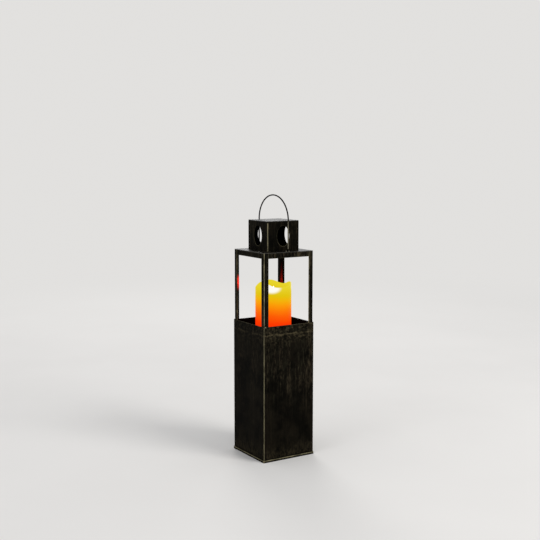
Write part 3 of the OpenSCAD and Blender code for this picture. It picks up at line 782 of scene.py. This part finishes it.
def weld_beads(material):
    """Beads where the posts pass the box rim, at the chimney's foot and beside the lugs."""
    made = []
    for corner, (sx, sy) in CORNERS.items():
        for kind, at, past, length, z, radius in CORNER_BEADS:
            made.append(weld_run(kind + corner + "_x", (sx * (at + past), sy * at, z),
                                 (sx * (at - length), sy * at, z), radius))
            made.append(weld_run(kind + corner + "_y", (sx * at, sy * (at + past), z),
                                 (sx * at, sy * (at - length), z), radius))
    bare = [weld_run("weld_spot_front_left", (-BOX_HALF + 1.4, -BOX_HALF - 0.1, BOX_TOP - 0.2),
                     (-BOX_HALF + 5.4, -BOX_HALF - 0.1, BOX_TOP - 0.5), 1.4)]
    lug_in, lug_out = (end.y for end in node_box("bail_lug_rear"))
    for name, side in (("front", -1), ("rear", 1)):
        half, radius = LUG_BEAD
        y, z = side * (lug_in - 0.1), DECK_Z + 0.15
        made.append(weld_run("weld_lug_" + name, (-half, y, z), (half, y, z), radius))
        away, half, radius = LUG_SPOT
        y = side * (lug_out + 0.1)
        for way, x in (("left", -away), ("right", away)):
            bare.append(weld_run("weld_lug_" + name + "_" + way, (x - half, y, DECK_Z + 0.9),
                                 (x + half, y, DECK_Z + 0.7), radius))
    bare_metal = weld_metal()
    for bead in made + bare:
        bead.data.materials.append(bare_metal if bead in bare else material)
        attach(bead, "lantern")


# ---- dressing of the nodes ----

# Half side for metals without worn corners: it lies outside the lantern
NO_CORNER = CAGE_HALF + 50


def dress(name, material):
    """Gives a node its finish and takes off what the import brought."""
    slots = NODES[name].data.materials
    slots.clear()
    slots.append(material)


# Round of a sheet's cut edges, and the distance within which the import's points are joined first
EDGE_ROUND, JOIN_REACH = 0.22, 0.002


def soften(name):
    """Rounds a sheet node's cut edges."""
    node = NODES[name]
    weld = node.modifiers.new("join", "WELD")
    weld.merge_threshold = JOIN_REACH * MM
    bevel = node.modifiers.new("edges", "BEVEL")
    bevel.width = EDGE_ROUND * MM
    bevel.segments = 2
    bevel.limit_method = "ANGLE"
    bevel.angle_limit = math.radians(40)
    bevel.harden_normals = False


def dress_sheets():
    """Antique metal for every sheet, angle and lug, and rounded edges."""
    box = antique_metal("box_metal", BOX_HALF, levels=((BOX_TOP, 0.22, 1.1),), band=BOX_TOP - WELD_DROP,
                        wear=0.62, wear_width=1.6, side_wear=0.1, inner=BOX_HALF - 0.5)
    tray = antique_metal("tray_metal", TRAY_HALF, levels=((LIP_TOP - 1.0, 1.0, 1.5),), wear=0.66)
    shelf = antique_metal("shelf_metal", NO_CORNER, streak="X", streaks=0.7)
    post = antique_metal("post_metal", CAGE_HALF, cut=POST_IN, wear=1.35, wear_width=1.2, side_wear=0.15,
                         streaks=1.5, inner=CAGE_HALF - 0.5 * ANGLE_T, inner_shade=srgb(16, 13, 10))
    rail_edges = ((RAIL_LOW, 0.18, 1.1), (ROOF_Z, 0.12, 1.1))
    # Lit and shaded copies of one rail metal: the front and rear rails get stronger pale streaks than the
    # left and right ones, which is painted light and shade
    rail = antique_metal("rail_metal", CAGE_HALF, levels=rail_edges, streaks=2.1)
    side_rail = antique_metal("side_rail_metal", CAGE_HALF, levels=rail_edges, streaks=1.0)
    roof = antique_metal("roof_metal", CAGE_HALF, levels=((DECK_Z, 0.12, 1.1),), streak="X", wear=0.6,
                         sheen=0.5)
    chimney = antique_metal("chimney_metal", CHIMNEY_HALF, vents=True, wear=0.72, wear_width=2.0,
                            wear_top=CHIMNEY_TOP - 3.5, side_wear=0.05, inner=CHIMNEY_HALF - 0.5,
                            streaks=0.8)
    cap = antique_metal("cap_metal", CHIMNEY_HALF, streak="X", wear=0.1, sheen=0.5)
    lug = antique_metal("lug_metal", NO_CORNER, streaks=2.5)
    plan = {"base_tray": tray, "box_shell_front": box, "box_shell_rear": box, "candle_shelf": shelf,
            "roof_plate": roof, "chimney_shell_front": chimney, "chimney_shell_rear": chimney,
            "chimney_cap": cap, "bail_lug_front": lug, "bail_lug_rear": lug,
            "top_rail_front": rail, "top_rail_rear": rail, "top_rail_right": side_rail,
            "top_rail_left": side_rail}
    plan.update(("corner_post_" + corner, post) for corner in CORNERS)
    for name, material in plan.items():
        dress(name, material)
        soften(name)


def dress_inside():
    """Plastics, plated steel, cells, board and lit pieces of the candle."""
    white = moulded("moulding", srgb(226, 223, 212), srgb(214, 209, 194))
    black = moulded("switch_plastic", srgb(34, 34, 36), srgb(44, 43, 44), 0.4)
    plated = plated_material()
    cells = cell_material()
    for name, material in {"led": led_material(), "led_stem": white, "led_leads": lead_material(),
                           "circuit_board": board_material(), "candle_base": white, "cell_front": cells,
                           "cell_rear": cells, "battery_springs": plated, "battery_contacts": plated,
                           "battery_door": white, "door_screw": plated, "switch_body": black,
                           "switch_slider": white, "flame_tip": flame_material()}.items():
        dress(name, material)


# ---- floor, lights and camera ----

BACKDROP = (0.76, 0.75, 0.735)

# The candle's red light on the posts: colour, radius of a lamp in metres and watts of each
GLOW_RED = (1.0, 0.03, 0.012)
GLOW_SOFT = 0.003
GLOW_POWER, GLINT_POWER = 27.0, 18.0


def floor():
    """Wide pale floor that turns into the backdrop far away. Its distances are in millimetres."""
    sides, radius = 96, 14000.0
    ring = [(radius * math.cos(2 * math.pi * k / sides), radius * math.sin(2 * math.pi * k / sides), 0.0)
            for k in range(sides)]
    made = new_object("floor", ring, [tuple(range(sides))], smooth=False)
    g = Graph("floor_paint")
    p = g.place()
    tone = g.mix(g.smooth(g.noise(p, 0.002, 3.0), 0.3, 0.7), (0.78, 0.77, 0.755), (0.80, 0.79, 0.775))
    paint = g.node("BsdfDiffuse", Color=tone)
    backdrop = g.node("Emission", Color=(*BACKDROP, 1.0), Strength=1.0)
    far = g.smooth(g.vector("LENGTH", p, out="Value"), 900.0, 3200.0)
    rays = g.tree.nodes.new("ShaderNodeLightPath")
    seen = g.most(rays.outputs["Is Camera Ray"], rays.outputs["Is Glossy Ray"])
    shown = g.node("MixShader", i0=g.times(far, seen), i1=paint, i2=backdrop)
    g.tree.links.new(shown, g.output.inputs["Surface"])
    made.data.materials.append(g.material)


def set_up(name, data, place, way):
    """Lamp or camera at a place in metres, facing along way."""
    made = bpy.data.objects.new(name, data)
    made.location = place
    made.rotation_mode = "QUATERNION"
    made.rotation_quaternion = way.to_track_quat("-Z", "Y")
    bpy.context.scene.collection.objects.link(made)
    return made


def area_light(name, place, size, power, colour):
    """Round lamp of the studio, aimed at the lantern's middle. Metres and watts."""
    data = bpy.data.lights.new(name, "AREA")
    data.shape = "DISK"
    data.size = size
    data.energy = power
    data.color = colour
    set_up(name, data, place, Vector((0.0, 0.0, 0.28)) - Vector(place))


def studio():
    """Three lamps and a pale surround, which the camera sees as the backdrop."""
    area_light("key", (1.3, -2.7, 2.6), 1.8, 66.0, (1.0, 0.98, 0.95))
    area_light("fill", (-3.0, -0.6, 1.9), 2.2, 13.0, (0.97, 0.98, 1.0))
    area_light("back", (1.2, 2.8, 2.4), 1.6, 36.0, (1.0, 0.98, 0.96))
    world = bpy.data.worlds.new("studio")
    world.use_nodes = True
    tree = world.node_tree
    back = tree.nodes["Background"]
    back.inputs["Color"].default_value = (0.97, 0.98, 1.0, 1.0)
    back.inputs["Strength"].default_value = 0.55
    seen = tree.nodes.new("ShaderNodeBackground")
    seen.inputs["Color"].default_value = (*BACKDROP, 1.0)
    seen.inputs["Strength"].default_value = 1.0
    path = tree.nodes.new("ShaderNodeLightPath")
    mix = tree.nodes.new("ShaderNodeMixShader")
    tree.links.new(path.outputs["Is Camera Ray"], mix.inputs[0])
    tree.links.new(back.outputs[0], mix.inputs[1])
    tree.links.new(seen.outputs[0], mix.inputs[2])
    tree.links.new(mix.outputs[0], tree.nodes["World Output"].inputs["Surface"])
    bpy.context.scene.world = world


def glow_lamp(name, place, aim, angle, power, lit_node):
    """Small red spot, placed in millimetres, that lights one node only and rides with the candle."""
    data = bpy.data.lights.new(name, "SPOT")
    data.energy = power
    data.color = GLOW_RED
    data.shadow_soft_size = GLOW_SOFT
    data.spot_size = math.radians(angle)
    data.spot_blend = 1.0
    lamp = set_up(name, data, [c * MM for c in place], Vector(aim) - Vector(place))
    lit = bpy.data.collections.new("lit_by_" + name)
    lit.objects.link(NODES[lit_node])
    lamp.light_linking.receiver_collection = lit
    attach(lamp, "candle")


def candle_glow():
    """The candle's light behind it: a streak up the fold of one post and a glint inside the other."""
    top = CANDLE_Z + CANDLE_H
    fold = CAGE_HALF - ANGLE_T
    glow_lamp("candle_glow", (fold - 6, fold - 6, top - 44), (fold, fold, top + 2), 9, GLOW_POWER,
              "corner_post_rear_right")
    glow_lamp("candle_glint", (-14, 18, top + 4), (2 - CAGE_HALF, CAGE_HALF - 2, top), 38, GLINT_POWER,
              "corner_post_rear_left")


def camera():
    """Camera at the photograph's viewing angle: place, heading, tilt and lens. Metres and degrees."""
    heading, yaw, tilt = (math.radians(angle) for angle in (32.24, -0.207, 6.69))
    distance, height = 1.926, 0.611
    data = bpy.data.cameras.new("camera")
    data.sensor_width = 36.0
    data.lens = 62.49
    data.clip_start, data.clip_end = 0.05, 60.0
    place = (-math.sin(heading) * distance, -math.cos(heading) * distance, height)
    way = heading + yaw
    look = Vector((math.sin(way) * math.cos(tilt), math.cos(way) * math.cos(tilt), -math.sin(tilt)))
    bpy.context.scene.camera = set_up("camera", data, place, look)


def main():
    camera()
    studio()
    floor()
    bpy.context.scene.view_settings.view_transform = "Standard"
    dress_sheets()
    dress_inside()

    wire = sweep("bail_wire", bail_path(), bail_radius)
    wire.data.materials.append(wire_metal())
    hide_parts("bail_handle")
    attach(wire, "handle")

    wax = candle_wax()
    wax.data.materials.append(wax_material())
    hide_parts("candle_shell")
    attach(wax, "candle")

    weld_beads(antique_metal("bead_metal", NO_CORNER, streaks=4.0))
    candle_glow()


main()
